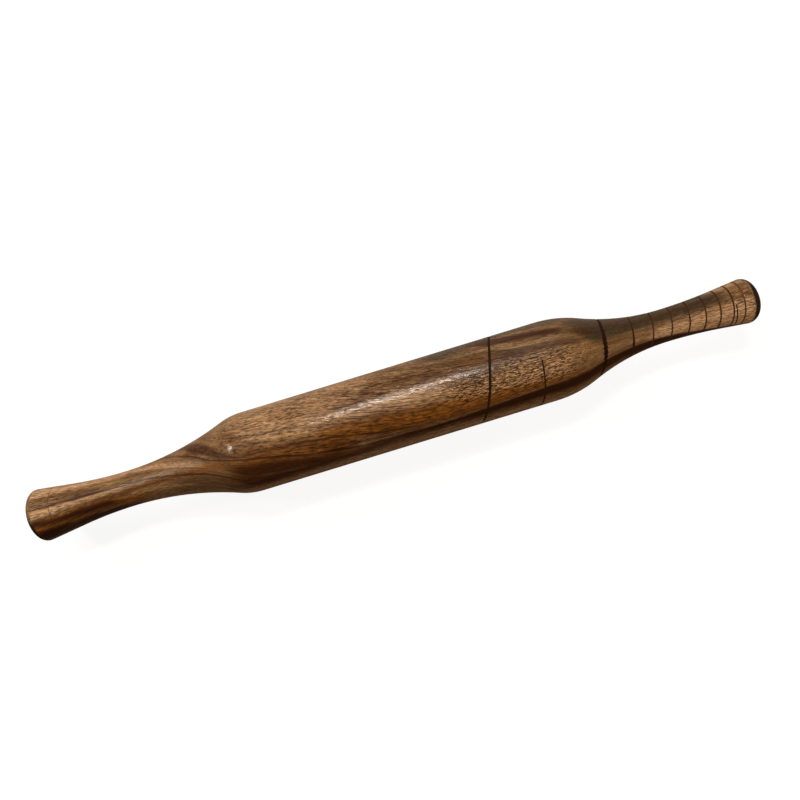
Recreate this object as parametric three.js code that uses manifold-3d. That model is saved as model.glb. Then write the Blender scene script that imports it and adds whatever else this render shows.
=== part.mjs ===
// A wooden rolling pin turned from one length of hardwood.
// A plain barrel runs out at each side through a rounded shoulder and a long hollow sweep to a thin
// neck, and a bell-shaped grip flares from each neck to a rounded end. A dark line is scored in a spiral
// round the right handle and the end of the barrel. The end grain is sealed dark.
// Millimetres, +Z up. The pin lies along X on the plane z = 0, with the scored handle towards +X.

import * as THREE from 'three';
import { mergeVertices } from 'three/addons/utils/BufferGeometryUtils.js';
import Module from 'manifold-3d';

// Barrel
const barrelDiameter = 36;
const barrelLength = 135.5;

// Right handle, from the shoulder to the end
const rightShoulderRadius = 50.5;
const rightSweepRadius = 95.7;
const rightNeckDiameter = 14.8;
const rightFlareRadius = 225;
const rightFlareAngle = 6.3;
const rightNeckToEnd = 40.4;
const rightEndRound = 3.5;

// Left handle, from the shoulder to the end
const leftShoulderRadius = 27.9;
const leftSweepRadius = 136.8;
const leftNeckDiameter = 15.8;
const leftFlareRadius = 172;
const leftFlareAngle = 7.75;
const leftNeckToEnd = 41.5;
const leftEndRound = 1.9;

// Dark seal on the end grain, seated in a shallow step of the wood
const sealThickness = 0.6;
const sealClearance = 0.2;

// Scored lines and the fill that lies in them
const lineWidth = 0.8;
const lineDepth = 0.6;
const fillClearance = 0.15;
const fillRecess = 0.1;

// Spiral line: distances are from the right end, pitches are per turn, turns count from the top of the
// pin. The pitch grows evenly at first, and then the tool is run out quickly in three more turns, over the
// shoulder, past the barrel's edge and on to the barrel. Each has a step along the pin and an end pitch.
const spiralFirstDistance = 7.75;
const spiralFirstPitch = 4.36;
const spiralPitchGrowth = 0.78;
const spiralStartTurn = -0.25;
const spiralEvenTurns = 7;
const shoulderTurnStep = 13.8;
const shoulderTurnPitch = 11.6;
const edgeTurnStep = 29.1;
const edgeTurnPitch = 10.9;
const barrelTurnStep = 22.8;
const barrelTurnPitch = 34.5;
const spiralTailTurn = 0.2;

// Short second line beside the spiral, with its angles counted from the top of the pin
const shortLineDistance = 11.5;
const shortLineFromAngle = 16;
const shortLineToAngle = 152;

// Fine ring near the left end
const ringDistance = 10.1;

// Fineness of the facets
const sides = 24;
const shoulderSteps = 6;
const sweepSteps = 10;
const flareSteps = 4;
const endSteps = 5;

const wasm = await Module();
wasm.setup();

const barrelRadius = barrelDiameter / 2;
const sealSeat = sealThickness + sealClearance;
const facetAngle = (2 * Math.PI) / sides;
const firstEdgeAngle = facetAngle / 2;
const cornerReach = 1 / Math.cos(firstEdgeAngle);

// Points of an arc about a centre, from one angle to another.
function arcPoints(centreX, centreY, radius, fromAngle, toAngle, steps) {
  const clockwise = toAngle < fromAngle;
  return new THREE.EllipseCurve(centreX, centreY, radius, radius, fromAngle, toAngle, clockwise).getPoints(steps);
}

// Outlines of one handle. Each point holds the distance outwards from the barrel's end and the radius.
// The shoulder and the sweep are two tangent arcs, and so are the sweep and the flare at the neck. The
// flare runs on as a cone to the rounded end.
function handleOutlines({ shoulderRadius, sweepRadius, neckDiameter, flareRadius, flareAngle, neckToEnd, endRound }) {
  const neckRadius = neckDiameter / 2;
  const bothRadii = shoulderRadius + sweepRadius;
  const sweepTurn = Math.acos(1 - (barrelRadius - neckRadius) / bothRadii);
  const neckDistance = bothRadii * Math.sin(sweepTurn);
  const length = neckDistance + neckToEnd;
  const cone = THREE.MathUtils.degToRad(flareAngle);
  const quarter = Math.PI / 2;

  const shoulder = arcPoints(0, barrelRadius - shoulderRadius, shoulderRadius,
    quarter, quarter - sweepTurn, shoulderSteps);
  const sweep = arcPoints(neckDistance, neckRadius + sweepRadius, sweepRadius,
    -quarter - sweepTurn, -quarter, sweepSteps);
  const flare = arcPoints(neckDistance, neckRadius + flareRadius, flareRadius,
    -quarter, -quarter + cone, flareSteps);

  const coneStart = flare.at(-1);
  const roundCentreX = length - endRound;
  const coneAtRound = coneStart.y + (roundCentreX - coneStart.x) * Math.tan(cone);
  const roundCentreY = coneAtRound - endRound / Math.cos(cone);
  const roundArc = (radius) => arcPoints(roundCentreX, roundCentreY, radius, quarter + cone, 0, endSteps);

  const outerRound = roundArc(endRound);
  const seatRound = roundArc(endRound - sealSeat);
  const alongCone = new THREE.Vector2(Math.cos(cone), Math.sin(cone));
  const stepTop = outerRound[0].clone().addScaledVector(alongCone, -sealClearance);
  const stepFoot = seatRound[0].clone().addScaledVector(alongCone, -sealClearance);

  const side = [...shoulder, ...sweep.slice(1), ...flare.slice(1), stepTop];
  const wood = [...side, stepFoot, ...seatRound, new THREE.Vector2(length - sealSeat, 0)];
  const seal = [
    new THREE.Vector2(length - sealThickness, 0),
    ...roundArc(endRound - sealThickness).reverse(),
    ...outerRound,
    new THREE.Vector2(length, 0),
  ];
  return { length, side, wood, seal };
}

const right = handleOutlines({
  shoulderRadius: rightShoulderRadius,
  sweepRadius: rightSweepRadius,
  neckDiameter: rightNeckDiameter,
  flareRadius: rightFlareRadius,
  flareAngle: rightFlareAngle,
  neckToEnd: rightNeckToEnd,
  endRound: rightEndRound,
});
const left = handleOutlines({
  shoulderRadius: leftShoulderRadius,
  sweepRadius: leftSweepRadius,
  neckDiameter: leftNeckDiameter,
  flareRadius: leftFlareRadius,
  flareAngle: leftFlareAngle,
  neckToEnd: leftNeckToEnd,
  endRound: leftEndRound,
});

// Places along X, with the middle of the whole pin at x = 0.
const totalLength = left.length + barrelLength + right.length;
const rightEnd = totalLength / 2;
const leftEnd = -rightEnd;
const barrelRight = rightEnd - right.length;
const barrelLeft = leftEnd + left.length;

// Handle points become points of the whole pin, with X along the axis and Y as the radius.
const onRight = (points) => points.map((point) => new THREE.Vector2(barrelRight + point.x, point.y));
const onLeft = (points) => points.map((point) => new THREE.Vector2(barrelLeft - point.x, point.y)).reverse();

const sideOutline = [...onLeft(left.side), ...onRight(right.side)];

// Radius of the wood's side at a place along X, between its outline points.
function sideRadius(x) {
  const next = sideOutline.findIndex((point, index) => index > 0 && point.x >= x);
  const after = sideOutline[next];
  const before = sideOutline[next - 1];
  const share = (x - before.x) / (after.x - before.x);
  return before.y + share * (after.y - before.y);
}

// A closed body turned about the X axis from an outline of places along X and radii.
// The middles of the facets touch the true round, so the pin measures its diameter across the flats, and
// facets are centred on the top and the bottom, so the barrel has a flat to lie on.
function turned(outline) {
  const points = outline.map((point) => new THREE.Vector2(point.y * cornerReach, point.x));
  return new THREE.LatheGeometry(points, sides, firstEdgeAngle).rotateZ(-Math.PI / 2);
}

// Corners of a line's section at a place along X: heights are measured from the wood's side.
function lineSection(x, width, bottom, top) {
  const from = x - width / 2;
  const to = x + width / 2;
  return [
    new THREE.Vector2(from, sideRadius(from) + bottom),
    new THREE.Vector2(to, sideRadius(to) + bottom),
    new THREE.Vector2(to, sideRadius(to) + top),
    new THREE.Vector2(from, sideRadius(from) + top),
  ];
}

// A band laid round the wood through stations of a place along X and an angle from the top.
function bandGeometry(stations, width, bottom, top) {
  const sections = stations.map(({ x }) => lineSection(x, width, bottom, top));
  const corners = sections[0].length;
  const positions = stations.flatMap(({ angle }, station) => sections[station].flatMap((corner) => {
    const reach = corner.y * cornerReach;
    return [corner.x, -reach * Math.sin(angle), reach * Math.cos(angle)];
  }));
  const triangles = [0, 3, 2, 0, 2, 1];
  for (let station = 0; station + 1 < stations.length; station += 1) {
    for (let corner = 0; corner < corners; corner += 1) {
      const near = station * corners + corner;
      const nearNext = station * corners + ((corner + 1) % corners);
      const far = near + corners;
      const farNext = nearNext + corners;
      triangles.push(near, nearNext, farNext, near, farNext, far);
    }
  }
  const last = (stations.length - 1) * corners;
  triangles.push(last, last + 1, last + 2, last, last + 2, last + 3);

  const geometry = new THREE.BufferGeometry();
  geometry.setAttribute('position', new THREE.Float32BufferAttribute(positions, 3));
  geometry.setIndex(triangles);
  return geometry;
}

// A closed ring round the wood at one place along X.
function ringGeometry(x, width, bottom, top) {
  const section = lineSection(x, width, bottom, top).reverse();
  return turned([...section, section[0]]);
}

// Stations at the edges between facets, from one angle to another, at a place that depends on the angle.
function edgeStations(fromAngle, toAngle, placeAt) {
  const first = Math.ceil((fromAngle - firstEdgeAngle) / facetAngle);
  const last = Math.floor((toAngle - firstEdgeAngle) / facetAngle);
  return Array.from({ length: last - first + 1 }, (_, index) => {
    const angle = firstEdgeAngle + (first + index) * facetAngle;
    return { x: placeAt(angle), angle };
  });
}

const spiralRunOut = [
  { step: shoulderTurnStep, nextPitch: shoulderTurnPitch },
  { step: edgeTurnStep, nextPitch: edgeTurnPitch },
  { step: barrelTurnStep, nextPitch: barrelTurnPitch },
];

// Distance of the spiral from the right end after a number of turns. The even part is a quadratic, and
// the run-out is a chain of cubics that meet with the given pitches.
function spiralDistance(turn) {
  const even = (turns) => spiralFirstDistance + spiralFirstPitch * turns + (spiralPitchGrowth / 2) * turns ** 2;
  let startTurn = spiralEvenTurns;
  if (turn <= startTurn) return even(turn);
  let distance = even(startTurn);
  let pitch = spiralFirstPitch + spiralPitchGrowth * startTurn;
  for (const { step, nextPitch } of spiralRunOut) {
    const share = turn - startTurn;
    if (share <= 1) {
      const bend = pitch + nextPitch - 2 * step;
      const lead = 3 * step - 2 * pitch - nextPitch;
      return distance + pitch * share + lead * share ** 2 + bend * share ** 3;
    }
    startTurn += 1;
    distance += step;
    pitch = nextPitch;
  }
  return distance + pitch * (turn - startTurn);
}

const fullTurn = 2 * Math.PI;
const spiralEndTurn = spiralEvenTurns + spiralRunOut.length + spiralTailTurn;
const spiralStations = edgeStations(
  spiralStartTurn * fullTurn,
  spiralEndTurn * fullTurn,
  (angle) => rightEnd - spiralDistance(angle / fullTurn),
);
const shortStations = edgeStations(
  THREE.MathUtils.degToRad(shortLineFromAngle),
  THREE.MathUtils.degToRad(shortLineToAngle),
  () => rightEnd - shortLineDistance,
);
const ringPlace = leftEnd + ringDistance;

// Width, bottom and top of a groove, which is cut from above the wood's side, and of its fill, which leaves
// the clearance on both flanks and below and lies a little under the wood's side.
const groove = [lineWidth, -lineDepth, lineWidth];
const fill = [lineWidth - 2 * fillClearance, fillClearance - lineDepth, -fillRecess];

// Merged triangles of a geometry, without the empty ones at the poles.
function closedMesh(geometry) {
  const bare = new THREE.BufferGeometry();
  bare.setAttribute('position', geometry.getAttribute('position'));
  bare.setIndex(geometry.getIndex());
  const merged = mergeVertices(bare);
  const index = merged.getIndex().array;
  const triangles = [];
  for (let start = 0; start < index.length; start += 3) {
    const [a, b, c] = index.slice(start, start + 3);
    if (a !== b && b !== c && c !== a) triangles.push(a, b, c);
  }
  merged.setIndex(triangles);
  return merged;
}

// Geometry to a solid for cutting, and back again.
function toSolid(geometry) {
  const mesh = closedMesh(geometry);
  return new wasm.Manifold(new wasm.Mesh({
    numProp: 3,
    vertProperties: new Float32Array(mesh.getAttribute('position').array),
    triVerts: new Uint32Array(mesh.getIndex().array),
  }));
}

function toGeometry(solid) {
  const mesh = solid.getMesh();
  const geometry = new THREE.BufferGeometry();
  geometry.setAttribute('position', new THREE.BufferAttribute(mesh.vertProperties, mesh.numProp));
  geometry.setIndex(new THREE.BufferAttribute(mesh.triVerts, 1));
  geometry.computeVertexNormals();
  return geometry;
}

function pinGeometry() {
  const grooves = [
    bandGeometry(spiralStations, ...groove),
    bandGeometry(shortStations, ...groove),
    ringGeometry(ringPlace, ...groove),
  ];
  const blank = toSolid(turned([...onLeft(left.wood), ...onRight(right.wood)]));
  return toGeometry(grooves.reduce((solid, cutter) => solid.subtract(toSolid(cutter)), blank));
}

const sheesham = new THREE.MeshStandardMaterial({ color: 0x8a6040, roughness: 0.42, metalness: 0 });
const darkFill = new THREE.MeshStandardMaterial({ color: 0x2a170c, roughness: 0.7, metalness: 0 });
const darkSeal = new THREE.MeshStandardMaterial({ color: 0x1c110b, roughness: 0.5, metalness: 0 });

function named(name, geometry, material) {
  const mesh = new THREE.Mesh(geometry, material);
  mesh.name = name;
  return mesh;
}

const rollingPin = new THREE.Group();
rollingPin.position.z = barrelRadius;
rollingPin.add(
  named('turned_pin', pinGeometry(), sheesham),
  named('spiral_line', bandGeometry(spiralStations, ...fill), darkFill),
  named('short_line', bandGeometry(shortStations, ...fill), darkFill),
  named('ring_line', closedMesh(ringGeometry(ringPlace, ...fill)), darkFill),
  named('right_end_seal', closedMesh(turned(onRight(right.seal))), darkSeal),
  named('left_end_seal', closedMesh(turned(onLeft(left.seal))), darkSeal),
);

export default rollingPin;
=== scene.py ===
# %% [markdown]
# # A turned wooden rolling pin
# The real pin is one length of sheesham, an open-pored brown hardwood, turned on a lathe, scored with a
# dark spiral line round one handle, oiled and varnished. The CAD model already fixes its shape and size
# with flat facets. This lesson keeps that frame and lays a smooth, finely grained skin over each solid.
# Everything is worked out in millimetres and turned to metres at the moment a mesh is made.

# %% Load the frame
import bpy
import numpy as np
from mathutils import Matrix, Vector


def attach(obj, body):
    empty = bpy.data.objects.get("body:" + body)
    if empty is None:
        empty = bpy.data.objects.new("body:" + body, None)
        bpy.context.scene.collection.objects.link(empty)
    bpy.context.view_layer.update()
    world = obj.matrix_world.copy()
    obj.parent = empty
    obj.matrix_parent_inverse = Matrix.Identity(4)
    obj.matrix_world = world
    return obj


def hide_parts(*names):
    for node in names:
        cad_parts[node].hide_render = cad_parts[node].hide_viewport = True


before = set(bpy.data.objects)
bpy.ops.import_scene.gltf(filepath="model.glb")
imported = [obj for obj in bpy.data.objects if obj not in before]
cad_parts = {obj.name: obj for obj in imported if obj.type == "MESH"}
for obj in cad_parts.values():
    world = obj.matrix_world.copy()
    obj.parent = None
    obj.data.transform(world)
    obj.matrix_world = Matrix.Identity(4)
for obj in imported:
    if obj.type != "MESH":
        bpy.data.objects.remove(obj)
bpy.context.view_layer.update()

# %% [markdown]
# ## The turned outline
# A turner works to a few radii: a round shoulder, a hollow sweep down to the neck, and a flare out to the
# grip's end. The same circles are written here as radii along the pin, so that the skin is exactly as
# long and as thick as the solids. A spline through measured points would wobble; tangent circles cannot.

# %% Sizes and the radius along the pin
MM = 0.001
FULL_TURN = 2 * np.pi
BARREL_RADIUS = 18.0
BARREL_LENGTH = 135.5
AXIS_HEIGHT = BARREL_RADIUS
RIGHT = {"shoulder": 50.5, "sweep": 95.7, "neck": 7.4, "flare": 225.0, "cone": np.radians(6.3),
         "neck_to_end": 40.4, "end_round": 3.5}
LEFT = {"shoulder": 27.9, "sweep": 136.8, "neck": 7.9, "flare": 172.0, "cone": np.radians(7.75),
        "neck_to_end": 41.5, "end_round": 1.9}


def handle_places(handle):
    """Distances out from the barrel where the sweep, the neck, the cone and the end come.

    The shoulder and the sweep turn through one angle, whose cosine is one less the drop over both radii."""
    both = handle["shoulder"] + handle["sweep"]
    turn = np.arccos(1 - (BARREL_RADIUS - handle["neck"]) / both)
    neck = both * np.sin(turn)
    cone = neck + handle["flare"] * np.sin(handle["cone"])
    return handle["shoulder"] * np.sin(turn), neck, cone, neck + handle["neck_to_end"]


def handle_radius(distance, handle):
    """Radius at distances out from the barrel: each circle's height is its centre's, plus or less the root
    of its radius squared less the distance from its centre squared, and the cone rises evenly."""
    bend, neck, cone, _ = handle_places(handle)

    def rise(radius, offset):
        return radius - np.sqrt(radius ** 2 - np.minimum(np.abs(offset), radius) ** 2)

    shoulder = BARREL_RADIUS - rise(handle["shoulder"], distance)
    sweep = handle["neck"] + rise(handle["sweep"], neck - distance)
    flare = handle["neck"] + rise(handle["flare"], distance - neck)
    at_cone = handle["neck"] + rise(handle["flare"], cone - neck)
    straight = at_cone + (distance - cone) * np.tan(handle["cone"])
    stretches = [distance < bend, distance < neck, distance < cone]
    return np.select(stretches, [shoulder, sweep, flare], straight)


left_length = handle_places(LEFT)[-1]
right_length = handle_places(RIGHT)[-1]
RIGHT_END = (left_length + BARREL_LENGTH + right_length) / 2
LEFT_END = -RIGHT_END
BARREL_RIGHT = RIGHT_END - right_length
BARREL_LEFT = LEFT_END + left_length


def side_radius(place):
    """Radius of the wood's side at places along X: the barrel's, or the handle's beyond its ends."""
    right = handle_radius(np.maximum(place - BARREL_RIGHT, 0), RIGHT)
    left = handle_radius(np.maximum(BARREL_LEFT - place, 0), LEFT)
    return np.where(place > 0, right, left)


print("length", round(2 * RIGHT_END, 2), "mm")
print("barrel from", round(BARREL_LEFT, 2), "to", round(BARREL_RIGHT, 2), "mm")

# %% [markdown]
# ## The spiral line
# The line was scored while the pin turned: the tool starts near the right end, its pitch grows a little
# with each turn, and then it is run out over the shoulder and on to the barrel. A place on it is a
# function of the number of turns alone, so the groove in the wood and the dark fill can both be computed
# from that function.

# %% Place of the spiral after a number of turns
# In mm: distance from the right end and pitch where turns are counted from, and the pitch's growth a turn.
FIRST_DISTANCE = 7.75
FIRST_PITCH = 4.36
PITCH_GROWTH = 0.78
EVEN_TURNS = 7
# Turns of the run-out, as (step along the pin, pitch at the turn's end).
RUN_OUT = ((13.8, 11.6), (29.1, 10.9), (22.8, 34.5))
START_TURN = -0.25
TURNS_PAST_RUN_OUT = 0.2
END_TURN = EVEN_TURNS + len(RUN_OUT) + TURNS_PAST_RUN_OUT


def spiral_place(turn):
    """Place along X after turns counted from the top: a quadratic in the turns up to the last even one,
    then one cubic a turn, each given by its step and by the pitches at its two ends."""
    even = np.minimum(turn, EVEN_TURNS)
    distance = FIRST_DISTANCE + FIRST_PITCH * even + PITCH_GROWTH / 2 * even ** 2
    pitch = FIRST_PITCH + PITCH_GROWTH * EVEN_TURNS
    for number, (step, next_pitch) in enumerate(RUN_OUT):
        share = np.clip(turn - EVEN_TURNS - number, 0, 1)
        lead = 3 * step - 2 * pitch - next_pitch
        bend = pitch + next_pitch - 2 * step
        distance = distance + pitch * share + lead * share ** 2 + bend * share ** 3
        pitch = next_pitch
    past = np.maximum(turn - EVEN_TURNS - len(RUN_OUT), 0)
    return RIGHT_END - distance - pitch * past


spiral_ends = spiral_place(np.array((START_TURN, END_TURN)))
print("spiral from", spiral_ends[0].round(1), "to", spiral_ends[1].round(1), "mm")

# %% [markdown]
# ## Ragged edges and smooth curves
# A blunt tool leaves a ragged edge. A few sine waves of unrelated lengths make the raggedness, so that it
# is the same in every run and needs no random numbers. What changes along the pin is drawn as a smooth
# curve through a few marks, as a maker would sketch it.

# %% Waves, steps and curves
# Each wave's pace, as a multiple of the angle, and its start in radians.
RAGGED_WAVES = ((17.3, 0.0), (31.7, 1.3), (71.9, 4.1))


def ragged(angle):
    """A wave between about -1 and 1 that never repeats over the pin: a mean of sines of the angle."""
    return sum(np.sin(pace * angle + start) for pace, start in RAGGED_WAVES) / len(RAGGED_WAVES)


def smooth_step(value, low, high):
    """0 below low, 1 above high, and three squares less two cubes of the share between them."""
    share = np.clip((value - low) / (high - low), 0, 1)
    return share ** 2 * (3 - 2 * share)


def through(place, knots, values):
    """A smooth curve through a few places: between two of them, the cubic with the mean slopes at both."""
    slopes = np.gradient(values, knots)
    number = np.clip(np.searchsorted(knots, place) - 1, 0, len(knots) - 2)
    gap = knots[number + 1] - knots[number]
    share = np.clip((place - knots[number]) / gap, 0, 1)
    rise = values[number + 1] - values[number]
    start = slopes[number] * gap - rise
    end = rise - slopes[number + 1] * gap
    return values[number] + rise * share + share * (1 - share) * (start * (1 - share) + end * share)


print("waves in a ragged edge:", len(RAGGED_WAVES))

# %% [markdown]
# ## Widths of the scored lines
# The score is under a millimetre wide, but it was pressed unevenly. One turn on the shoulder is much wider
# than the rest, and a place on the neck and the last turn on the barrel are a little wider. The width is
# a function of the number of turns, like the place of the line.

# %% Half widths of the lines
LINE_HALF_WIDTH = 0.38
SHORT_HALF_WIDTH = 0.27
RING_HALF_WIDTH = 0.12
# Where the tool was pressed hardest, as (turn, extra half width in mm, spread in turns).
WIDE_TURNS = ((8.03, 0.76, 0.15), (7.09, 0.28, 0.06), (10.0, 0.26, 0.3))
# Raggedness of the even and of the extra width, as shares of them, and how much faster the extra one goes.
EVEN_RAGGED = 0.2
EXTRA_RAGGED = 0.65
EXTRA_PACE = 2.3


def spiral_half_width(turn):
    """Half width of the spiral line: even, with a bell of extra width where it was pressed hard, ragged."""
    extra = sum(width * np.exp(-((turn - centre) / spread) ** 2) for centre, width, spread in WIDE_TURNS)
    even = LINE_HALF_WIDTH * (1 + EVEN_RAGGED * ragged(FULL_TURN * turn))
    return even + extra * (1 + EXTRA_RAGGED * ragged(EXTRA_PACE * FULL_TURN * turn))


print("lines", 2 * LINE_HALF_WIDTH, 2 * SHORT_HALF_WIDTH, "and", 2 * RING_HALF_WIDTH, "mm wide")

# %% [markdown]
# The depth says how much lac a line holds, and so how dark it looks. It is drawn as a share of the full
# depth. The tool went deeper on the far side of the pin than on the near one, and over the barrel's top
# it skipped a third of a turn. The spiral and the short line run out to nothing at their ends.

# %% Places and depths of the lines
LINE_DEPTH = 0.45
TAPER_TURNS = 0.03
SKIPPED_TURNS = (8.6, 8.975)
# How hard the tool was pressed, as (turn, share of the full depth).
PRESSURE = (
    (-0.25, 0.25), (0.3, 0.35), (1, 0.65), (2, 0.6), (3, 0.65), (5, 0.6), (6, 0.65), (6.9, 0.65),
    (7.05, 0.9), (7.5, 0.7), (7.9, 0.9), (8.05, 1.05), (8.2, 1.1), (9, 0.85), (9.2, 1.0), (9.5, 0.6),
    (10, 0.95), (10.2, 1.0))
FAR_SIDE_GAIN = 0.3
# Places of the short line and of the ring along the pin, and the angles that the short line runs between.
SHORT_PLACE = RIGHT_END - 11.5
SHORT_ANGLES = np.radians((-2.0, 152.0))
RING_PLACE = LEFT_END + 10.1
# Share of the full depth that the ring has, how much it swings, and where it is deepest, in radians.
RING_PRESSURE = 0.35
RING_SWING = 0.25
RING_DEEPEST = 0.1


def spiral_pressure(turn):
    """Share of the full depth that the tool was pressed to: the drawn curve, times one less the gain times
    the sine of the angle, which makes it more on the far side and less on the near one."""
    along_line = through(turn, *np.array(PRESSURE, float).T)
    return along_line * (1 - FAR_SIDE_GAIN * np.sin(FULL_TURN * turn))


def spiral_depth(turn):
    """Depth of the spiral line: as it was pressed, and nothing at its ends and where the tool skipped."""
    begun = smooth_step(turn, START_TURN, START_TURN + TAPER_TURNS)
    ended = smooth_step(turn, END_TURN - TAPER_TURNS, END_TURN)
    lifted = smooth_step(turn, SKIPPED_TURNS[0] - TAPER_TURNS, SKIPPED_TURNS[0])
    back = smooth_step(turn, SKIPPED_TURNS[1], SKIPPED_TURNS[1] + TAPER_TURNS)
    return LINE_DEPTH * spiral_pressure(turn) * begun * (1 - ended) * (1 - lifted + back)


def short_depth(angle):
    """Depth of the short line: even between its two angles, and running out to nothing at both."""
    taper = FULL_TURN * TAPER_TURNS
    run_in = smooth_step(angle, SHORT_ANGLES[0], SHORT_ANGLES[0] + taper)
    run_out = 1 - smooth_step(angle, SHORT_ANGLES[1] - taper, SHORT_ANGLES[1])
    return LINE_DEPTH * run_in * run_out


def ring_depth(angle):
    """Depth of the ring near the left end, which the tool barely touched: it fades twice round the pin."""
    return LINE_DEPTH * (RING_PRESSURE + RING_SWING * np.cos(2 * (angle - RING_DEEPEST)))


print("full depth of a line", LINE_DEPTH, "mm, drawn from", min(share for _, share in PRESSURE), "to",
      max(share for _, share in PRESSURE), "of it")

# %% [markdown]
# ## A grid that follows the line
# The wood is a surface of revolution: places along X, turned round the axis. A groove under a millimetre
# wide would need millions of even squares. Instead the grid's columns lean with the spiral, so that seven
# of them lie exactly on the groove's bottom, walls and lips at every angle.

# %% Columns that lean
# Rows round the pin, which start and end on the underside.
ROWS = 150
SEAM_ANGLE = np.pi
# A groove's floor and its lip's outer edge, in half widths from its centre.
GROOVE_FLOOR = 0.5
GROOVE_LIP = 1.6
GROOVE_COLUMNS = np.array((-GROOVE_LIP, -1.0, -GROOVE_FLOOR, 0.0, GROOVE_FLOOR, 1.0, GROOVE_LIP))
# Least gap in mm between the lips of the short line and of the turn beside it.
LIP_GAP = 0.08
angles = SEAM_ANGLE + FULL_TURN * np.arange(ROWS + 1) / ROWS
top_angles = angles - FULL_TURN
shares = angles / FULL_TURN


def ring_columns(places):
    """Columns that stay at fixed places all the way round."""
    return np.tile(np.asarray(places, float), (ROWS + 1, 1))


def groove_columns(centre, half_width):
    """Columns on the bottom, walls and lips of a groove whose centre and width change with the angle."""
    return centre[:, None] + np.outer(half_width, GROOVE_COLUMNS)


def columns_between(left, right, spacing):
    """Columns that divide the gap between two leaning columns evenly, about a spacing apart."""
    count = int(np.ceil(np.mean(right - left) / spacing))
    return left[:, None] + np.outer(right - left, np.arange(1, count) / count)


def short_place(angle):
    """Place of the short line: even, but never nearer to the turn beside it than both their lips allow."""
    turn = 1 + angle / FULL_TURN
    lips = (spiral_half_width(turn) + SHORT_HALF_WIDTH) * GROOVE_LIP
    return np.maximum(SHORT_PLACE, spiral_place(turn) + lips + LIP_GAP)


print("columns on a groove:", len(GROOVE_COLUMNS))

# %% [markdown]
# The side is laid out from left to right: plain columns, the ring's groove, plain columns up to the
# spiral, then each turn of the spiral with plain columns before it. After one turn each column has become
# its left neighbour, so the last row can't be joined to the first straight across; a zip of triangles
# joins them further on.

# %% Columns of the wood's side
SEAL_CLEARANCE = 0.04
COLUMN_SPACING = 0.95
# Columns are straight up to this place, which is left of the spiral.
PLAIN_TO = 8.0
# Turn numbers from left to right. The rows add half a turn to one and a half turns.
TURNS = range(EVEN_TURNS + len(RUN_OUT) - 1, -2, -1)
ones = np.ones(ROWS + 1)


def side_end(handle):
    """Distance of the wood's edge from the end: where the rounding starts, less the seal's clearance."""
    return handle["end_round"] * (1 + np.sin(handle["cone"])) + SEAL_CLEARANCE * np.cos(handle["cone"])


LEFT_EDGE = LEFT_END + side_end(LEFT)
RIGHT_EDGE = RIGHT_END - side_end(RIGHT)
ring_groove = groove_columns(RING_PLACE * ones, RING_HALF_WIDTH * ones)
blocks = [
    ring_columns([LEFT_EDGE]),
    columns_between(LEFT_EDGE * ones, ring_groove[:, 0], COLUMN_SPACING),
    ring_groove,
    columns_between(ring_groove[:, -1], PLAIN_TO * ones, COLUMN_SPACING),
    ring_columns([PLAIN_TO]),
]
for turn_number in TURNS:
    turn = turn_number + shares
    groove = groove_columns(spiral_place(turn), spiral_half_width(turn))
    blocks.append(columns_between(blocks[-1][:, -1], groove[:, 0], COLUMN_SPACING))
    blocks.append(groove)
    if turn_number == 0:
        short_centre = short_place(top_angles)
        short_groove = groove_columns(short_centre, SHORT_HALF_WIDTH * ones)
        blocks.append(columns_between(groove[:, -1], short_groove[:, 0], COLUMN_SPACING))
        blocks.append(short_groove)
blocks.append(columns_between(blocks[-1][:, -1], RIGHT_EDGE * ones, COLUMN_SPACING))
blocks.append(ring_columns([RIGHT_EDGE]))
side_places = np.concatenate(blocks, axis=1)
print("side grid", side_places.shape, "narrowest step", round(float(np.diff(side_places).min()), 3), "mm")

# %% [markdown]
# ## From grid to wood
# The side's radius is the turned outline less the depth of whichever groove runs past. The ends are
# closed under the seals with a step, a smaller rounding and a flat face, as the solids have them. Lips of
# the grooves stay crisp because edges sharper than 35 degrees are marked sharp, while the rest is shaded
# smooth.

# %% Radii, ends and points of the wood
SEAL_THICKNESS = 0.6
SEAL_SEAT = SEAL_THICKNESS + SEAL_CLEARANCE
SHARP_ANGLE = np.radians(35)
SEAT_STEPS = 5
# Rings on the flat face under a seal, as shares of its radius.
SEAT_RINGS = np.array((0.75, 0.5, 0.25))


def groove_share(offset, half_width):
    """Share of a groove's depth at offsets from its centre: all of it over the floor, then a straight wall
    up to the lip."""
    return np.clip((1 - np.abs(offset) / half_width) / (1 - GROOVE_FLOOR), 0, 1)


def round_arc(handle, radius, steps):
    """Arc about the centre of the end's rounding: distances back from the end and radii from the axis."""
    length = handle_places(handle)[-1]
    at_round = handle_radius(np.array(length - handle["end_round"]), handle)
    centre = at_round - handle["end_round"] / np.cos(handle["cone"])
    turn = np.linspace(np.pi / 2 + handle["cone"], 0, steps)
    return handle["end_round"] - radius * np.cos(turn), centre + radius * np.sin(turn)


def seat_profile(handle):
    """Outline of the wood under a seal, from the step's foot inwards: distances from the end and radii."""
    back, radius = round_arc(handle, handle["end_round"] - SEAL_SEAT, SEAT_STEPS)
    foot_back = back[0] + SEAL_CLEARANCE * np.cos(handle["cone"])
    foot_radius = radius[0] - SEAL_CLEARANCE * np.sin(handle["cone"])
    face = SEAT_RINGS * radius[-1]
    return (np.concatenate(([foot_back], back, np.full(face.shape, SEAL_SEAT))),
            np.concatenate(([foot_radius], radius, face)))


def on_pin(place, angle, radius):
    """Points at places along X, angles from the top towards -Y, and radii from the pin's axis."""
    return np.stack((place, -radius * np.sin(angle), AXIS_HEIGHT + radius * np.cos(angle)), axis=-1)


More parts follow.
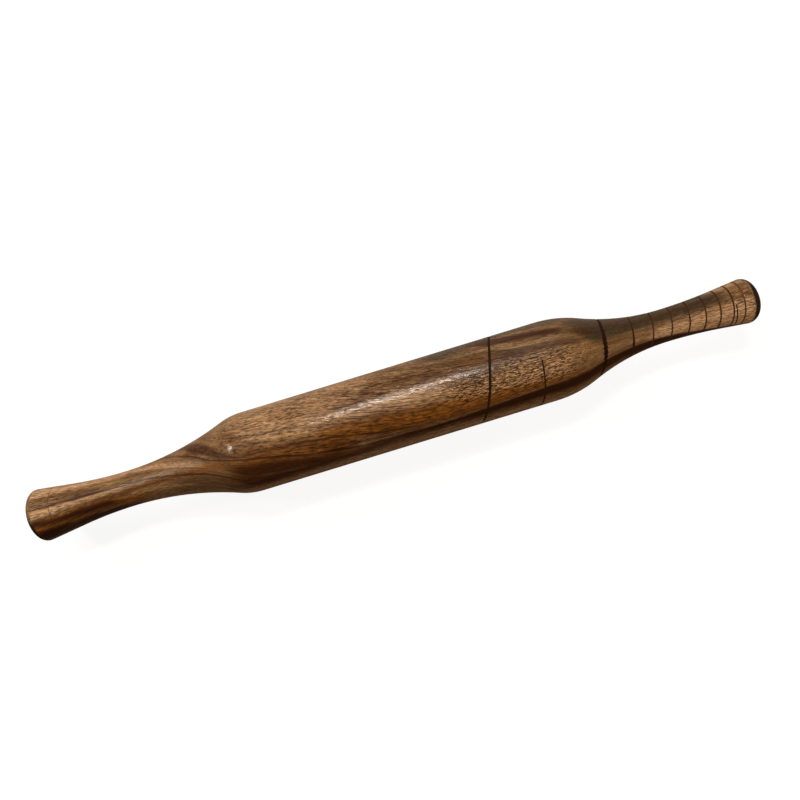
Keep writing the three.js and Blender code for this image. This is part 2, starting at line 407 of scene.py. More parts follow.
side_depth = ring_depth(top_angles)[:, None] * groove_share(side_places - RING_PLACE, RING_HALF_WIDTH)
side_depth += short_depth(top_angles)[:, None] * groove_share(
    side_places - short_centre[:, None], SHORT_HALF_WIDTH)
for turn_number in TURNS:
    turn = (turn_number + shares)[:, None]
    offset = side_places - spiral_place(turn)
    side_depth += spiral_depth(turn) * groove_share(offset, spiral_half_width(turn))

left_seat = seat_profile(LEFT)
right_seat = seat_profile(RIGHT)
left_places = ring_columns(LEFT_END + left_seat[0][::-1])
right_places = ring_columns(RIGHT_END - right_seat[0])
wood_places = np.concatenate((left_places, side_places, right_places), axis=1)
left_radii = ring_columns(left_seat[1][::-1])
right_radii = ring_columns(right_seat[1])
wood_radii = np.concatenate((left_radii, side_radius(side_places) - side_depth, right_radii), axis=1)
wood_angles = np.broadcast_to(top_angles[:, None], wood_places.shape)
print("deepest groove", round(float(side_depth.max()), 2), "mm")

# %% [markdown]
# Faces come from arrays of vertex numbers. Inside the grid each square takes four neighbours. Along the
# seam, the steps of the last row and of the first are sorted by where they lie: each step becomes a
# triangle with the vertex that the other row has reached by then. The same sorting works for every
# column, leaning or not.

# %% Faces of the wood


def grid_faces(numbers):
    """Squares between neighbouring rows and columns of a grid of vertex numbers, facing outwards."""
    corners = (numbers[:-1, :-1], numbers[1:, :-1], numbers[1:, 1:], numbers[:-1, 1:])
    return np.stack(corners, axis=-1).reshape(-1, 4)


def zip_faces(last, last_keys, first, first_keys):
    """Triangles that join two rows of vertex numbers whose steps are ordered by rising keys."""
    middles = np.concatenate((last_keys[1:] + last_keys[:-1], first_keys[1:] + first_keys[:-1])) / 2
    order = np.argsort(middles, kind="stable")
    of_last = order < len(last) - 1
    reached_last = np.cumsum(of_last) - of_last
    reached_first = np.cumsum(~of_last) - ~of_last
    third = np.where(of_last, last[reached_last + of_last], first[reached_first + ~of_last])
    return np.stack((last[reached_last], first[reached_first], third), axis=-1)


def fan_faces(pole, ring, outwards):
    """Triangles from a pole to a closed ring of vertex numbers, turned to face along +X or -X."""
    triangles = np.stack((np.full(ring.shape, pole), ring, np.roll(ring, -1)), axis=-1)
    return triangles if outwards > 0 else triangles[:, ::-1]


columns = wood_places.shape[1]
numbers = np.arange(ROWS * columns).reshape(ROWS, columns)
left_caps = left_seat[0].size
right_caps = right_seat[0].size
keys = wood_places.copy()
keys[:, :left_caps] = LEFT_EDGE - np.arange(left_caps, 0, -1)
keys[:, -right_caps:] = RIGHT_EDGE + np.arange(1, right_caps + 1)
wood_points = on_pin(wood_places[:-1], wood_angles[:-1], wood_radii[:-1]).reshape(-1, 3)
poles = on_pin(np.array((LEFT_END + SEAL_SEAT, RIGHT_END - SEAL_SEAT)), np.zeros(2), np.zeros(2))
wood_points = np.concatenate((wood_points, poles))
wood_faces = [
    *grid_faces(numbers).tolist(),
    *zip_faces(numbers[-1], keys[-1], numbers[0], keys[0]).tolist(),
    *fan_faces(ROWS * columns, numbers[:, 0], -1).tolist(),
    *fan_faces(ROWS * columns + 1, numbers[:, -1], 1).tolist(),
]
print("wood:", len(wood_points), "points,", len(wood_faces), "faces")

# %% [markdown]
# ## One way to make a piece
# Every piece is a mesh in metres at the origin. It rides on the part's only body, hides the solid that it
# stands for, and wears its material.

# %% Make a piece


def make_piece(name, points, faces, material, slot, *nodes):
    """A smooth-shaded mesh object from points in millimetres, put in place of CAD nodes."""
    mesh = bpy.data.meshes.new(name)
    mesh.from_pydata((points * MM).tolist(), [], faces)
    mesh.polygons.foreach_set("use_smooth", np.ones(len(mesh.polygons), bool))
    mesh.set_sharp_from_angle(angle=SHARP_ANGLE)
    mesh.materials.append(material)
    piece = bpy.data.objects.new(name, mesh)
    bpy.context.scene.collection.objects.link(piece)
    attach(piece, "root")
    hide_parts(*nodes)
    print(name, "faces:", len(mesh.polygons))
    return piece


def add_attribute(piece, name, values):
    """Stores one number or one vector at each point of a piece, for its material to read."""
    vector = values.ndim == 2
    attribute = piece.data.attributes.new(name, "FLOAT_VECTOR" if vector else "FLOAT", "POINT")
    attribute.data.foreach_set("vector" if vector else "value", values.astype(np.float32).ravel())


print("solids to stand in for:", sorted(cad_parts))

# %% [markdown]
# ## Tools for materials
# Colours are written as they are picked on screen and turned to linear light. One function adds any node:
# its settings are named, and each of its sockets gets a value, or the node or socket that feeds it.

# %% Colours and nodes


def linear(hex_colour):
    """Linear RGBA from an sRGB hex value: a straight part near black, and a power of 2.4 above it."""
    srgb = np.array([int(hex_colour[start:start + 2], 16) for start in (1, 3, 5)]) / 255
    rgb = np.where(srgb <= 0.04045, srgb / 12.92, ((srgb + 0.055) / 1.055) ** 2.4)
    return (*rgb.tolist(), 1.0)


def add_node(tree, kind, sockets=None, **settings):
    """Adds a shader node, sets its properties, and fills its sockets with values or links.

    Sockets go by name, or by number where names repeat. A node given as a value stands for the first of its
    outputs that is in use."""
    made = tree.nodes.new("ShaderNode" + kind)
    for name, value in settings.items():
        setattr(made, name, value)
    usable = [socket for socket in made.inputs if socket.enabled]
    by_name = {socket.name: socket for socket in reversed(usable)}
    for name, value in (sockets or {}).items():
        socket = by_name[name] if isinstance(name, str) else usable[name]
        if isinstance(value, bpy.types.Node):
            value = next(output for output in value.outputs if output.enabled)
        if isinstance(value, bpy.types.NodeSocket):
            tree.links.new(value, socket)
        else:
            socket.default_value = value
    return made


def new_material(name):
    """An empty node material with its node tree."""
    material = bpy.data.materials.new(name)
    material.use_nodes = True
    material.node_tree.nodes.clear()
    return material, material.node_tree


print("middle grey in linear light:", round(linear("#808080")[0], 3))

# %% [markdown]
# ## The figure of the wood
# Growth layers run through the blank at a slant. Turning cuts through them, which is why the lines sweep
# steeply over the shoulders and lie almost along the barrel. A plain stack of flat layers would look
# ruled, so four layers that stand out on this pin are drawn as curves of an angle along its length, and
# every other layer lies between them. A layer runs through from top to bottom, so the underside shows it
# mirrored, moved along a little by the slant.

# %% Layers of the blank
# How far the slant has moved the layers on the underside, in mm, and the angles between which it sets in.
UNDERSIDE_SHIFT = 22.0
UNDERSIDE_FROM, UNDERSIDE_TO = np.radians((76, 160))
SLOPE_STEP = 0.5
# The slope at the ends' poles is taken at this radius in mm, so that it stays finite.
SLOPE_RADIUS = 1.0
TOP_LAYER, UPPER_LINE, MAIN_LINE, LOWER_LINE = -38.0, -3.5, 0.0, 20.0
# Each layer's number in mm, then (place in mm, angle from the top in degrees).
LAYERS = (
    (TOP_LAYER, (
        (-166, -420), (-100, -330), (-60, -235), (-40, -190), (-20, -150), (0, -115), (20, -88),
        (37, -68), (48, -57), (64, -47), (80, -43), (96, -46), (130, -62), (166, -84))),
    (UPPER_LINE, (
        (-166, -210), (-128, -160), (-104, -116), (-95, -85), (-91, -66), (-88, -48), (-84, -32),
        (-80, -19), (-76, -8), (-72, -1), (-66, 3), (-60, 4.5), (-46, 6.5), (-38, 9), (-28, 13.5),
        (-20, 18.5), (-12, 24.5), (-3, 30), (7, 34), (20, 35), (40, 31), (60, 27), (92, 24), (116, 28),
        (138, 48), (166, 66))),
    (MAIN_LINE, (
        (-166, -158), (-128, -112), (-112, -82), (-105, -65), (-100, -54.5), (-96, -42.5), (-92, -33),
        (-88, -22.5), (-83, -10), (-78, -2.5), (-72, 3), (-66, 7), (-60, 10.5), (-52, 17), (-44, 23.5),
        (-36, 29), (-27, 34.5), (-17, 39), (-6, 41), (6, 42), (24, 42), (40, 38), (60, 34.5), (80, 32),
        (94, 31.5), (108, 32), (116, 36), (123, 43), (130, 50), (138, 57), (148, 64), (166, 75))),
    (LOWER_LINE, (
        (-166, -15.5), (-150, -17.5), (-138, -18.5), (-126, -17.5), (-114, -13), (-106, -8), (-99, 0),
        (-93, 6.5), (-88, 11), (-82, 18), (-76, 27.5), (-70, 36.5), (-64, 44), (-56, 49), (-46, 54),
        (-30, 62), (0, 78), (40, 95), (100, 110), (166, 120))),
)


def layer_number(place, angle):
    """Number of the layer at places and angles: straight shares between the drawn layers, and past the outer
    two the same step a degree as between the last pair."""
    drawn = [through(place, *np.array(curve, float).T) for _, curve in LAYERS]
    levels = [level for level, _ in LAYERS]
    shares = [(angle - upper) / (lower - upper) for upper, lower in zip(drawn, drawn[1:])]
    steps = [low + share * (high - low) for share, low, high in zip(shares, levels, levels[1:])]
    return np.select([angle < lower for lower in drawn[1:-1]], steps[:-1], steps[-1])


def layer_slope(place, angle, radius):
    """Layers crossed per mm of surface: the root of the squared slopes along the pin and round it."""
    turn = np.degrees(SLOPE_STEP / radius)
    along = layer_number(place + SLOPE_STEP, angle) - layer_number(place - SLOPE_STEP, angle)
    around = layer_number(place, angle + turn) - layer_number(place, angle - turn)
    return np.hypot(along, around) / (2 * SLOPE_STEP)


wood_place = np.concatenate((wood_places[:-1].ravel(), poles[:, 0]))
wood_angle = np.concatenate((wood_angles[:-1].ravel(), np.zeros(2)))
wood_radius = np.concatenate((wood_radii[:-1].ravel(), np.zeros(2)))
folded_angle = np.degrees(np.arcsin(np.sin(wood_angle)))
layer_place = wood_place + UNDERSIDE_SHIFT * smooth_step(np.abs(wood_angle), UNDERSIDE_FROM, UNDERSIDE_TO)
layer = layer_number(layer_place, folded_angle)
slope = layer_slope(layer_place, folded_angle, np.maximum(wood_radius, SLOPE_RADIUS))
across = wood_radius * np.cos(wood_angle)
grain = np.stack((wood_place, layer, across), axis=-1)
print("layers from", round(float(layer.min()), 1), "to", round(float(layer.max()), 1), "mm")

# %% [markdown]
# This blank was cut where dark heartwood meets pale sapwood, so the layers differ in colour along the pin
# as well. Each patch of colour is drawn as a cutter would mark it out: a band between an upper and a
# lower edge, given by a few places along the pin and angles from the top, with soft edges. A band belongs
# to one tone of the wood, and the material gives each tone its colour. Some bands also paint light and
# shade: painted shade on the underside, a painted highlight along the barrel, and painted bounce light
# from the floor on the lower edge.

# %% Patches of colour
# A patch fades out at each end over this many mm and this share of its length.
END_FADE = 2.0
END_FADE_SHARE = 0.12
# A tone can be seen where it covers at least this share.
SEEN_FROM = 0.3
# Tone, strength, softness of the upper and the lower edge in mm, then (place, upper angle, lower angle).
PATCHES = (
    # Left handle, from its top edge down
    ("sap_and_light", 0.6, 3.0, 2.0, (
        (-166, -100, -40), (-150, -100, -48), (-136, -100, -54), (-120, -100, -52), (-112, -100, -70))),
    ("sap_and_light", 0.9, 0.8, 0.8, (
        (-166, -52, -43), (-156, -55, -48), (-148, -65, -57), (-136, -80, -68))),
    ("ash", 0.33, 1.5, 0.6, (
        (-166, -37, -16), (-150, -38, -18), (-134, -40, -19), (-120, -38, -18), (-108, -30, -21))),
    ("sap_and_light", 0.55, 0.5, 1.5, (
        (-166, -13, 5), (-150, -15, 5), (-140, -16, -2), (-128, -14, -5), (-118, -12, -6))),
    ("heart_and_shade", 0.82, 1.4, 2.0, (
        (-166, 8, 24), (-150, 13, 30), (-140, 11, 36), (-130, 13, 38), (-124, 24, 40))),
    ("amber", 0.8, 1.5, 1.5, (
        (-166, 6, 42), (-150, 8, 42), (-140, 2, 42), (-128, 6, 44), (-112, 20, 46))),
    # Dark lower half of the left handle: heartwood deepened with painted shade.
    ("heart_and_shade", 0.78, 1.5, 4.0, (
        (-166, 30, 100), (-150, 38, 100), (-134, 44, 100), (-118, 56, 100))),
    ("amber", 0.5, 2.0, 2.0, (
        (-142, -6, 12), (-120, -6, 12), (-96, -6, 14), (-70, -4, 14), (-46, -4, 14))),
    ("heart_and_shade", 0.58, 1.0, 1.0, (
        (-138, 0, 10), (-126, 1, 11), (-114, -1, 9), (-104, -1, 8), (-92, 1, 9))),
    ("sap_and_light", 0.3, 0.8, 1.2, (
        (-129, 16, 24), (-118, 11, 28), (-108, 14, 30), (-98, 22, 34), (-88, 34, 42))),
    # Left shoulder
    ("sap_and_light", 0.55, 1.5, 1.2, (
        (-120, -90, -52), (-112, -62, -38), (-106, -50, -30), (-100, -37, -20), (-93, -23, -9),
        (-84, -6, 2))),
    ("heart_and_shade", 0.72, 2.2, 1.4, (
        (-97, -95, -72), (-93, -75, -54), (-89, -62, -30), (-84, -46, -18), (-80, -30, -8),
        (-76, -15, 0), (-71, -2, 6))),
    ("ash", 0.4, 1.5, 1.5, (
        (-100, 6, 26), (-90, 14, 34), (-80, 26, 44), (-72, 40, 56))),
    ("heart_and_shade", 0.66, 1.0, 1.5, (
        (-74, 26, 38), (-68, 30, 48), (-60, 36, 54), (-48, 44, 56))),
    # Barrel: pale upper left, amber middle
    ("sap_and_light", 0.38, 4.0, 4.0, (
        (-72, -100, -36), (-62, -100, -10), (-46, -100, -8), (-30, -90, -10), (-18, -84, -22),
        (-6, -76, -40))),
    # Pale band along the barrel's highlight: paler wood, lightened further by a painted highlight that draws
    # the streak out to the left.
    ("sap_and_light", 0.55, 2.5, 3.0, (
        (-44, -24, -8), (-26, -21, -5), (-10, -19, -1), (8, -18, 5), (26, -17, 7))),
    ("amber", 0.75, 3.0, 2.0, (
        (-74, 4, 44), (-56, 2, 40), (-40, 4, 46), (-20, 8, 50))),
    ("amber", 0.85, 3.0, 1.5, (
        (-44, 6, 14), (-32, 0, 18), (-12, 4, 28), (10, 8, 36), (30, 14, 38), (46, 17, 36), (66, 22, 32),
        (84, 26, 31))),
    # The next three dark patches are heartwood deepened with painted shade on the barrel's lower side.
    ("heart_and_shade", 0.3, 3.0, 2.0, (
        (-40, 20, 46), (-20, 22, 46), (0, 24, 44), (24, 27, 44), (44, 25, 40))),
    ("heart_and_shade", 0.72, 2.5, 2.5, (
        (-76, 8, 34), (-58, 18, 40), (-44, 28, 46), (-32, 36, 52), (-22, 40, 54))),
    ("heart_and_shade", 0.85, 2.0, 2.5, (
        (-74, 40, 54), (-60, 42, 56), (-44, 44, 54), (-30, 44, 54), (-14, 43, 52), (0, 42, 50))),
    ("heart_and_shade", 0.7, 0.7, 0.7, (
        (-40, -63, -57), (-38, -63, -57), (-36, -62, -58))),
    ("ash", 0.8, 4.0, 3.0, (
        (13, -100, -66), (23, -100, -47), (30, -100, -52), (40, -100, -58), (60, -100, -62),
        (84, -100, -50))),
    ("ash", 0.6, 2.5, 2.0, (
        (18, -52, -40), (30, -52, -26), (44, -50, -24), (58, -44, -18), (72, -38, -14), (82, -36, -10))),
    ("ash", 0.3, 3.0, 2.0, (
        (-14, -52, -24), (0, -54, -20), (14, -48, -22), (30, -46, -22), (44, -40, -24))),
    ("ash", 0.4, 2.0, 1.0, (
        (30, -24, -8), (44, -24, -8), (60, -18, -6), (80, -14, -4))),
    # Dark heartwood and painted shade along the belly, with a crisp upper edge, partly a painted shadow
    # edge, that turns under on the right handle
    ("heart_and_shade", 0.95, 0.8, 2.5, (
        (-22, 40, 44), (-8, 39, 46), (6, 40, 49), (24, 41, 52), (40, 38, 52), (60, 35, 51), (80, 33, 52),
        (94, 32, 56), (108, 32, 64), (116, 36, 78), (123, 43, 95), (130, 51, 95), (138, 60, 95),
        (148, 70, 98), (158, 80, 100))),
    # Paler strip along the lower edge: painted bounce light from the floor.
    ("sap_and_light", 0.65, 3.0, 4.0, (
        (-120, 50, 110), (-90, 58, 110), (-60, 59, 110), (-20, 57, 110), (40, 57, 110), (90, 60, 110))),
    # Barrel's right end and the right shoulder
    ("amber", 0.45, 1.5, 1.5, (
        (26, -42, -28), (34, -42, -26), (42, -38, -23), (48, -30, -22))),
    ("sap_and_light", 0.4, 0.8, 0.8, (
        (28, -50, -46), (38, -48, -42), (48, -46, -37), (56, -42, -30), (64, -37, -26), (72, -34, -24),
        (80, -31, -24))),
    ("heart_and_shade", 0.88, 1.4, 1.0, (
        (37, -85, -58), (42, -76, -53), (48, -64, -48), (56, -58, -44), (64, -53, -40), (72, -48, -37),
        (80, -46, -36))),
    ("heart_and_shade", 0.62, 0.5, 0.5, (
        (42, -23, -20), (50, -21, -18), (58, -21, -18), (66, -22, -18), (73, -20, -16), (82, -14, -11))),
    ("sap_and_light", 0.3, 3.0, 2.0, (
        (34, 2, 16), (48, 3, 20), (64, 3, 24), (78, 2, 24))),
    ("heart_and_shade", 0.5, 2.5, 2.0, (
        (78, -64, -34), (84, -66, -22), (90, -62, -20), (98, -54, -22))),
    ("ash", 0.9, 3.0, 2.2, (
        (80, -100, -30), (86, -100, -12), (96, -100, -8), (106, -100, -8), (116, -100, -9),
        (124, -100, -8), (134, -100, -9), (144, -80, -12), (150, -56, -14))),
    ("heart_and_shade", 0.42, 3.0, 2.0, (
        (90, -80, -40), (104, -80, -20), (112, -70, -24), (122, -70, -20), (134, -66, -16),
        (144, -52, -18), (154, -40, -16))),
    ("sap_and_light", 0.5, 1.0, 2.0, (
        (142, -110, -72), (150, -110, -58), (165, -110, -50))),
    # Pale sapwood of the right handle
    ("sap_and_light", 0.22, 1.2, 0.8, (
        (84, 4, 27), (96, 2, 26), (106, 4, 27), (114, 2, 31), (120, 4, 36))),
    ("sap_and_light", 0.85, 3.5, 0.6, (
        (114, 6, 34), (122, 2, 40), (130, 2, 47), (138, 2, 58), (148, 0, 68), (158, -2, 78),
        (166, -3, 84))),
    # Where single layers show as dark lines, where open pores are many, and where the fibre curls
    ("vein", 1, 2.0, 2.0, (
        (-110, -80, -44), (-98, -70, -28), (-88, -62, -8), (-78, -20, 10), (-66, -6, 16), (-50, 0, 28),
        (-30, 8, 44), (-10, 18, 52), (6, 26, 52))),
    ("vein", 1, 2.0, 2.0, (
        (-170, -26, -6), (-140, -28, -9), (-118, -26, -6), (-104, -18, 2), (-92, -4, 18), (-82, 10, 28),
        (-70, 28, 46), (-56, 40, 58))),
    ("fleck", 1, 5.0, 5.0, (
        (-74, -120, 120), (-40, -120, 120), (20, -120, 120), (78, -120, 120))),
    ("fleck", 0.8, 5.0, 5.0, (
        (-170, -120, 120), (-120, -120, 120), (-90, -120, 120))),
    ("fleck", 0.9, 5.0, 5.0, (
        (112, -120, 120), (140, -120, 120), (170, -120, 120))),
    ("fleck", 0.8, 3.0, 3.0, (
        (80, -100, -14), (96, -100, -14), (112, -100, -14))),
    ("curl", 1, 2.0, 2.0, (
        (22, -12, 14), (38, -16, 22), (56, -17, 26), (74, -16, 26), (80, -10, 20))),
    ("curl", 0.4, 3.0, 1.5, (
        (116, -8, 34), (128, -14, 44), (140, -16, 54), (156, -18, 66), (168, -18, 70))),
    ("thread", 1, 4.0, 4.0, (
        (-30, -48, -8), (-10, -52, 0), (14, -50, 2), (36, -40, -4), (56, -34, -6), (76, -26, -4))),
    ("thread", 1, 4.0, 4.0, (
        (-70, 6, 50), (-50, 6, 50), (-20, 14, 54), (10, 24, 54))),
)


def patch(upper_soft, lower_soft, marks):
    """How much of a patch each point has: 1 between its edges, and softly 0 past them and its ends."""
    knots, upper, lower = np.array(marks, float).T
    below_upper = np.radians(folded_angle - through(layer_place, knots, upper)) * wood_radius
    above_lower = np.radians(through(layer_place, knots, lower) - folded_angle) * wood_radius
    under = smooth_step(below_upper, -upper_soft, upper_soft)
    over = smooth_step(above_lower, -lower_soft, lower_soft)
    fade = END_FADE + END_FADE_SHARE * (knots[-1] - knots[0])
    begun = smooth_step(layer_place, knots[0] - fade, knots[0] + fade)
    ended = smooth_step(layer_place, knots[-1] - fade, knots[-1] + fade)
    return under * over * begun * (1 - ended)


TONES = ("sap_and_light", "amber", "ash", "heart_and_shade", "vein", "fleck", "curl", "thread")
tones = {tone: np.zeros(wood_place.shape) for tone in TONES}
for tone, strength, upper_soft, lower_soft, marks in PATCHES:
    tones[tone] = np.maximum(tones[tone], strength * patch(upper_soft, lower_soft, marks))
for tone in TONES:
    print(tone, "covers", round(100 * float(np.mean(tones[tone] > SEEN_FROM))), "% of the points")

# %% [markdown]
# ## Varnished sheesham
# Sheesham is a dense brown hardwood with wide, open pores that show as short dark dashes along the fibre.
# Wood is one bundle of fibres, so every pattern in it is a noise stretched along the fibre, with sizes in
# millimetres. The noise reads the grain stored at the points: the place along the pin, the layer, and the
# distance across. To the eye this gives a warm, streaky brown that changes from layer to layer.

# %% Noise along the fibre
# Real pores are 0.1 to 0.25 mm wide and fibres are finer still, too fine to show in the render. Threads,
# flecks and pores are drawn 0.4 to 0.7 mm wide, so that they show.
sheesham, tree = new_material("varnished_sheesham")
grain_stored = add_node(tree, "Attribute", attribute_name="grain").outputs["Vector"]
cover = {tone: add_node(tree, "Attribute", attribute_name=tone).outputs["Fac"] for tone in TONES}


def fibre_noise(length, thickness, width, detail=2.0, roughness=0.55, warp=0.0):
    """Noise whose grains are so many mm long on the fibre, thick through the layers and wide along them."""
    stretch = (1 / length, 1 / thickness, 1 / width)
    scaled = add_node(tree, "VectorMath", {0: grain_stored, 1: stretch}, operation="MULTIPLY")
    return add_node(tree, "TexNoise", {"Vector": scaled, "Scale": 1.0, "Detail": detail,
                                       "Roughness": roughness, "Distortion": warp})


clouds = fibre_noise(length=24, thickness=5, width=7)
growth = fibre_noise(length=60, thickness=0.7, width=7, detail=4, roughness=0.65)
fine_fibres = fibre_noise(length=20, thickness=0.6, width=1.3, detail=4, roughness=0.65)
broad_fibres = fibre_noise(length=14, thickness=2.2, width=3.0)
threads = fibre_noise(length=24, thickness=0.4, width=0.7)
straight_flecks = fibre_noise(length=2.8, thickness=0.42, width=0.5)
curled_flecks = fibre_noise(length=2.0, thickness=0.42, width=0.5, warp=0.7)
pore_noise = fibre_noise(length=3.6, thickness=0.36, width=0.45, detail=1)
print("noises along the fibre:", sum(node.type == "TEX_NOISE" for node in tree.nodes))

# %% [markdown]
# The tones lie over a brown ground that wanders between two shades. Added noise frays the edge of each
# patch, so that it ends in fibres, as it does in wood.

# %% Ground and tones
DARK_GROUND = "#6a482a"
PALE_GROUND = "#8a6742"
# The sap tint also paints the highlight along the barrel and the bounce light on the lower edge.
TINTS = {"ash": "#433521", "amber": "#7d4b16", "sap_and_light": "#c09870"}
# Noise swings about this value.
NOISE_MIDDLE = 0.5
# Share of fine fibres in the fraying, and how far it moves a patch's edge, as a share of the cover.
FINE_SHARE = 0.6
FRAY = 0.6
broad_part = add_node(tree, "Math", {0: broad_fibres, 1: 1 - FINE_SHARE, 2: -NOISE_MIDDLE},
                      operation="MULTIPLY_ADD")
both_parts = add_node(tree, "Math", {0: fine_fibres, 1: FINE_SHARE, 2: broad_part},
                      operation="MULTIPLY_ADD")
fray = add_node(tree, "Math", {0: both_parts, 1: 2 * FRAY}, operation="MULTIPLY")


def frayed(tone):
    """A tone's cover with its edges frayed into fibres."""
    moved = add_node(tree, "Math", {0: cover[tone], 1: fray}, operation="ADD")
    return add_node(tree, "MapRange", {"Value": moved, "From Min": 0.15, "From Max": 0.85})


shade_share = add_node(tree, "MapRange", {"Value": clouds, "From Min": 0.35, "From Max": 0.65})
colour = add_node(tree, "Mix", {"Factor": shade_share, "A": linear(DARK_GROUND), "B": linear(PALE_GROUND)},
                  data_type="RGBA")
for tone, tint in TINTS.items():
    colour = add_node(tree, "Mix", {"Factor": frayed(tone), "A": colour, "B": linear(tint)},
                      data_type="RGBA")
print("tones over the ground:", list(TINTS))

# %% [markdown]
# Two finer patterns darken and lighten the tones: the growth layers, which are long and thin, and the
# flecks of the fibre ends, which are short. Where the fibre curls, the flecks are shorter, stand out more
# and leave pale ends between them. Where long threads run, the flecks are weaker.

# %% Growth layers and flecks
# How strongly flecks darken and lighten the wood: everywhere, and what each kind of patch adds to that.
PLAIN_CONTRAST = 1.3
ADDED_CONTRAST = {"fleck": 2.6, "curl": 10.5, "thread": -1.2}
DARKEST_FLECK = 0.12
PALE_ENDS = "#a68a68"
flecks = add_node(tree, "Mix", {"Factor": cover["curl"], "A": straight_flecks, "B": curled_flecks})
contrast = PLAIN_CONTRAST
for tone, added in ADDED_CONTRAST.items():
    contrast = add_node(tree, "Math", {0: cover[tone], 1: added, 2: contrast}, operation="MULTIPLY_ADD")
fleck_part = add_node(tree, "Math", {0: flecks, 1: NOISE_MIDDLE}, operation="SUBTRACT")
fleck_shade = add_node(tree, "Math", {0: fleck_part, 1: contrast, 2: 1.0}, operation="MULTIPLY_ADD")
fleck_shade = add_node(tree, "Math", {0: fleck_shade, 1: DARKEST_FLECK}, operation="MAXIMUM")
growth_shade = add_node(tree, "MapRange", {"Value": growth, "From Min": 0.3, "From Max": 0.7,
                                           "To Min": 0.38, "To Max": 1.0})
shade = add_node(tree, "Math", {0: fleck_shade, 1: growth_shade}, operation="MULTIPLY")
colour = add_node(tree, "VectorMath", {"Vector": colour, "Scale": shade}, operation="SCALE")
pale_flecks = add_node(tree, "MapRange", {"Value": flecks, "From Min": 0.53, "From Max": 0.7,
                                          "To Max": 0.6})
pale_flecks = add_node(tree, "Math", {0: pale_flecks, 1: cover["curl"]}, operation="MULTIPLY")
colour = add_node(tree, "Mix", {"Factor": pale_flecks, "A": colour, "B": linear(PALE_ENDS)},
                  data_type="RGBA")
print("contrast of flecks", PLAIN_CONTRAST, "and more by patch:", ADDED_CONTRAST)

# %% [markdown]
# Three growth layers are dark enough to be followed by eye. Each is a thin line on its layer's number,
# which wanders and breaks up with the fibres. The same dark colour fills the heartwood, the painted shade
# on the underside and the long threads on the barrel, and nearly the same one the open pores.

# %% Dark layers, heartwood with painted shade, and pores
# This dark colour also paints the shade on the underside.
HEARTWOOD_AND_SHADE = "#2e1304"
OPEN_PORE = "#2b1408"
# Half width in mm of each layer that shows as a dark line, and the share of it that is fully dark.
LINE_LAYERS = {MAIN_LINE: 0.7, UPPER_LINE: 0.55, LOWER_LINE: 0.65}
CORE_SHARE = 0.3
# How far a line wanders, in mm for each unit of fraying.
WANDER = 2.5
# How much sooner a pore opens where the wood is flecked, and how dark an open one is.
FLECK_PORES = 0.06
PORE_DARKNESS = 0.65
level = add_node(tree, "SeparateXYZ", {"Vector": grain_stored}).outputs["Y"]
slope_stored = add_node(tree, "Attribute", attribute_name="slope").outputs["Fac"]


def layer_line(number, half_width):
    """1 in the core of one layer, falling to 0 at a half width in mm, and wandering with the fibres."""
    away = add_node(tree, "Math", {0: level, 1: number}, operation="SUBTRACT")
    away = add_node(tree, "Math", {0: away, 1: slope_stored}, operation="DIVIDE")
    wandered = add_node(tree, "Math", {0: fray, 1: WANDER, 2: away}, operation="MULTIPLY_ADD")
    gap = add_node(tree, "Math", {0: wandered}, operation="ABSOLUTE")
    core = CORE_SHARE * half_width
    return add_node(tree, "MapRange", {"Value": gap, "From Min": core, "From Max": half_width,
                                       "To Min": 1.0, "To Max": 0.0})


lines = 0.0
for number, half_width in LINE_LAYERS.items():
    lines = add_node(tree, "Math", {0: layer_line(number, half_width), 1: lines}, operation="MAXIMUM")
broken = add_node(tree, "MapRange", {"Value": fine_fibres, "From Min": 0.38, "From Max": 0.58,
                                     "To Min": 0.6, "To Max": 1.0})
lines = add_node(tree, "Math", {0: lines, 1: broken}, operation="MULTIPLY")
lines = add_node(tree, "Math", {0: lines, 1: cover["vein"]}, operation="MULTIPLY")
thin_threads = add_node(tree, "MapRange", {"Value": threads, "From Min": 0.515, "From Max": 0.6,
                                           "To Max": 0.95})
thin_threads = add_node(tree, "Math", {0: thin_threads, 1: cover["thread"]}, operation="MULTIPLY")
dark = add_node(tree, "Math", {0: frayed("heart_and_shade"), 1: lines}, operation="MAXIMUM")
dark = add_node(tree, "Math", {0: dark, 1: thin_threads}, operation="MAXIMUM")
colour = add_node(tree, "Mix", {"Factor": dark, "A": colour, "B": linear(HEARTWOOD_AND_SHADE)}, data_type="RGBA")
pore_depth = add_node(tree, "Math", {0: cover["fleck"], 1: FLECK_PORES, 2: pore_noise},
                      operation="MULTIPLY_ADD")
pores = add_node(tree, "MapRange", {"Value": pore_depth, "From Min": 0.62, "From Max": 0.72})
pore_share = add_node(tree, "Math", {0: pores, 1: PORE_DARKNESS}, operation="MULTIPLY")
colour = add_node(tree, "Mix", {"Factor": pore_share, "A": colour, "B": linear(OPEN_PORE)},
                  data_type="RGBA")
print("nodes in the wood's material:", len(tree.nodes))

# %% [markdown]
# A satin varnish lies over the wood without filling its pores, so its shine is broken into fine threads.
# The wood itself is dull, with a sharper coat over it, and both follow the same fine relief. To the eye
# this gives a soft streak of light that breaks up along the fibre.

